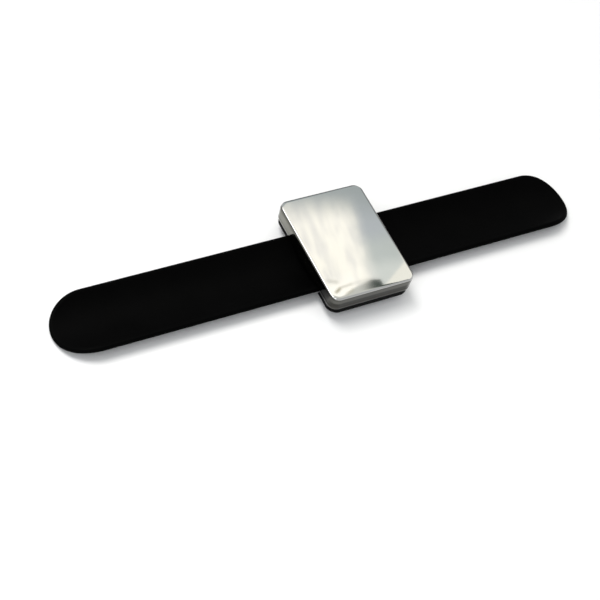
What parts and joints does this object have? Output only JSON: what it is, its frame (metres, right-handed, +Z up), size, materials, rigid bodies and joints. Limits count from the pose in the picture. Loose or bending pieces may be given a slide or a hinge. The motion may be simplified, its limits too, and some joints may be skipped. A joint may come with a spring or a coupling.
{
  "type": "wrist pin holder",
  "caption": "Magnetic pin holder for sewing: a polished steel pin platform on a black silicone snap band that lies straight and curls round the wrist.",
  "frame": {"origin": "under the middle of the band's length, on the surface that the straight band lies on", "axes": "+X along the band towards the shorter arm, +Y across the band, +Z up through the pin platform"},
  "size_m": [0.2284, 0.0502, 0.013],
  "materials": {
    "polished_cover": "mirror-polished stainless steel with faint handling haze",
    "silicone": "matte moulded silicone, fine texture",
    "spring_steel": "cold-rolled spring steel, slightly blued",
    "black_plastic": "black moulded ABS, fine satin",
    "ferrite": "ground sintered ferrite, matte",
    "plated_steel": "zinc-plated mild steel",
    "foam": "white closed-cell foam tape",
    "adhesive": "black acrylic adhesive pad",
    "rivet_metal": "nickel-plated steel"
  },
  "bodies": {
    "root": {"metal_cover": "polished_cover", "foam_pad": "foam", "magnet_near": "ferrite", "magnet_far": "ferrite", "keeper_plate": "plated_steel", "base_tray": "black_plastic", "saddle_pad": "adhesive", "band_rivets": "rivet_metal", "sleeve_centre": "silicone", "strip_centre": "spring_steel"},
    "left_1": {"sleeve_left_1": "silicone", "strip_left_1": "spring_steel"},
    "left_2": {"sleeve_left_2": "silicone", "strip_left_2": "spring_steel"},
    "left_3": {"sleeve_left_3": "silicone", "strip_left_3": "spring_steel"},
    "left_4": {"sleeve_left_4": "silicone", "strip_left_4": "spring_steel"},
    "left_5": {"sleeve_left_5": "silicone", "strip_left_5": "spring_steel"},
    "left_6": {"sleeve_left_6": "silicone", "strip_left_6": "spring_steel"},
    "left_7": {"sleeve_left_7": "silicone", "strip_left_7": "spring_steel"},
    "left_8": {"sleeve_left_8": "silicone", "strip_left_8": "spring_steel"},
    "left_9": {"sleeve_left_9": "silicone", "strip_left_9": "spring_steel"},
    "left_10": {"sleeve_left_10": "silicone", "strip_left_10": "spring_steel"},
    "left_11": {"sleeve_left_11": "silicone", "strip_left_11": "spring_steel"},
    "left_12": {"sleeve_left_12": "silicone", "strip_left_12": "spring_steel"},
    "left_tip": {"sleeve_left_tip": "silicone", "strip_left_tip": "spring_steel"},
    "right_1": {"sleeve_right_1": "silicone", "strip_right_1": "spring_steel"},
    "right_2": {"sleeve_right_2": "silicone", "strip_right_2": "spring_steel"},
    "right_3": {"sleeve_right_3": "silicone", "strip_right_3": "spring_steel"},
    "right_4": {"sleeve_right_4": "silicone", "strip_right_4": "spring_steel"},
    "right_5": {"sleeve_right_5": "silicone", "strip_right_5": "spring_steel"},
    "right_6": {"sleeve_right_6": "silicone", "strip_right_6": "spring_steel"},
    "right_7": {"sleeve_right_7": "silicone", "strip_right_7": "spring_steel"},
    "right_8": {"sleeve_right_8": "silicone", "strip_right_8": "spring_steel"},
    "right_9": {"sleeve_right_9": "silicone", "strip_right_9": "spring_steel"},
    "right_10": {"sleeve_right_10": "silicone", "strip_right_10": "spring_steel"},
    "right_tip": {"sleeve_right_tip": "silicone", "strip_right_tip": "spring_steel"}
  },
  "joints": [
    {"name": "left_curl", "type": "hinge", "parent": "root", "child": "left_1", "pos_m": [-0.01285, 0, 0], "axis": [0, -1, 0], "range_deg": [0, 20.5]},
    {"name": "left_curl_2", "type": "hinge", "parent": "left_1", "child": "left_2", "pos_m": [-0.01995, 0, 0], "axis": [0, -1, 0], "range_deg": [0, 20]},
    {"name": "left_curl_3", "type": "hinge", "parent": "left_2", "child": "left_3", "pos_m": [-0.02705, 0, 0], "axis": [0, -1, 0], "range_deg": [0, 20]},
    {"name": "left_curl_4", "type": "hinge", "parent": "left_3", "child": "left_4", "pos_m": [-0.03415, 0, 0], "axis": [0, -1, 0], "range_deg": [0, 20]},
    {"name": "left_curl_5", "type": "hinge", "parent": "left_4", "child": "left_5", "pos_m": [-0.04125, 0, 0], "axis": [0, -1, 0], "range_deg": [0, 20]},
    {"name": "left_curl_6", "type": "hinge", "parent": "left_5", "child": "left_6", "pos_m": [-0.04835, 0, 0], "axis": [0, -1, 0], "range_deg": [0, 20]},
    {"name": "left_curl_7", "type": "hinge", "parent": "left_6", "child": "left_7", "pos_m": [-0.05545, 0, 0], "axis": [0, -1, 0], "range_deg": [0, 20]},
    {"name": "left_curl_8", "type": "hinge", "parent": "left_7", "child": "left_8", "pos_m": [-0.06255, 0, 0], "axis": [0, -1, 0], "range_deg": [0, 17.9]},
    {"name": "left_curl_9", "type": "hinge", "parent": "left_8", "child": "left_9", "pos_m": [-0.06965, 0, 0], "axis": [0, -1, 0], "range_deg": [0, 12.9]},
    {"name": "left_curl_10", "type": "hinge", "parent": "left_9", "child": "left_10", "pos_m": [-0.07675, 0, 0], "axis": [0, -1, 0], "range_deg": [0, 8.1]},
    {"name": "left_curl_11", "type": "hinge", "parent": "left_10", "child": "left_11", "pos_m": [-0.08385, 0, 0], "axis": [0, -1, 0], "range_deg": [0, 5.4]},
    {"name": "left_curl_12", "type": "hinge", "parent": "left_11", "child": "left_12", "pos_m": [-0.09095, 0, 0], "axis": [0, -1, 0], "range_deg": [0, 3.9]},
    {"name": "left_curl_13", "type": "hinge", "parent": "left_12", "child": "left_tip", "pos_m": [-0.09805, 0, 0], "axis": [0, -1, 0], "range_deg": [0, 3.9]},
    {"name": "right_curl", "type": "hinge", "parent": "root", "child": "right_1", "pos_m": [0.02435, 0, 0], "axis": [0, 1, 0], "range_deg": [0, 19.9]},
    {"name": "right_curl_2", "type": "hinge", "parent": "right_1", "child": "right_2", "pos_m": [0.03145, 0, 0], "axis": [0, 1, 0], "range_deg": [0, 16.7]},
    {"name": "right_curl_3", "type": "hinge", "parent": "right_2", "child": "right_3", "pos_m": [0.03855, 0, 0], "axis": [0, 1, 0], "range_deg": [0, 16.5]},
    {"name": "right_curl_4", "type": "hinge", "parent": "right_3", "child": "right_4", "pos_m": [0.04565, 0, 0], "axis": [0, 1, 0], "range_deg": [0, 16.4]},
    {"name": "right_curl_5", "type": "hinge", "parent": "right_4", "child": "right_5", "pos_m": [0.05275, 0, 0], "axis": [0, 1, 0], "range_deg": [0, 16.2]},
    {"name": "right_curl_6", "type": "hinge", "parent": "right_5", "child": "right_6", "pos_m": [0.05985, 0, 0], "axis": [0, 1, 0], "range_deg": [0, 16.1]},
    {"name": "right_curl_7", "type": "hinge", "parent": "right_6", "child": "right_7", "pos_m": [0.06695, 0, 0], "axis": [0, 1, 0], "range_deg": [0, 15.9]},
    {"name": "right_curl_8", "type": "hinge", "parent": "right_7", "child": "right_8", "pos_m": [0.07405, 0, 0], "axis": [0, 1, 0], "range_deg": [0, 15.8]},
    {"name": "right_curl_9", "type": "hinge", "parent": "right_8", "child": "right_9", "pos_m": [0.08115, 0, 0], "axis": [0, 1, 0], "range_deg": [0, 15.6]},
    {"name": "right_curl_10", "type": "hinge", "parent": "right_9", "child": "right_10", "pos_m": [0.08825, 0, 0], "axis": [0, 1, 0], "range_deg": [0, 15.5]},
    {"name": "right_curl_11", "type": "hinge", "parent": "right_10", "child": "right_tip", "pos_m": [0.09535, 0, 0], "axis": [0, 1, 0], "range_deg": [0, 12.3]}
  ],
  "couplings": [
    {"joint": "left_curl_2", "follows": "left_curl", "ratio": 0.97561},
    {"joint": "left_curl_3", "follows": "left_curl", "ratio": 0.97561},
    {"joint": "left_curl_4", "follows": "left_curl", "ratio": 0.97561},
    {"joint": "left_curl_5", "follows": "left_curl", "ratio": 0.97561},
    {"joint": "left_curl_6", "follows": "left_curl", "ratio": 0.97561},
    {"joint": "left_curl_7", "follows": "left_curl", "ratio": 0.97561},
    {"joint": "left_curl_8", "follows": "left_curl", "ratio": 0.87317},
    {"joint": "left_curl_9", "follows": "left_curl", "ratio": 0.62927},
    {"joint": "left_curl_10", "follows": "left_curl", "ratio": 0.39512},
    {"joint": "left_curl_11", "follows": "left_curl", "ratio": 0.26342},
    {"joint": "left_curl_12", "follows": "left_curl", "ratio": 0.19024},
    {"joint": "left_curl_13", "follows": "left_curl", "ratio": 0.19024},
    {"joint": "right_curl_2", "follows": "right_curl", "ratio": 0.8392},
    {"joint": "right_curl_3", "follows": "right_curl", "ratio": 0.82915},
    {"joint": "right_curl_4", "follows": "right_curl", "ratio": 0.82412},
    {"joint": "right_curl_5", "follows": "right_curl", "ratio": 0.81407},
    {"joint": "right_curl_6", "follows": "right_curl", "ratio": 0.80905},
    {"joint": "right_curl_7", "follows": "right_curl", "ratio": 0.799},
    {"joint": "right_curl_8", "follows": "right_curl", "ratio": 0.79397},
    {"joint": "right_curl_9", "follows": "right_curl", "ratio": 0.78392},
    {"joint": "right_curl_10", "follows": "right_curl", "ratio": 0.77889},
    {"joint": "right_curl_11", "follows": "right_curl", "ratio": 0.61809}
  ]
}
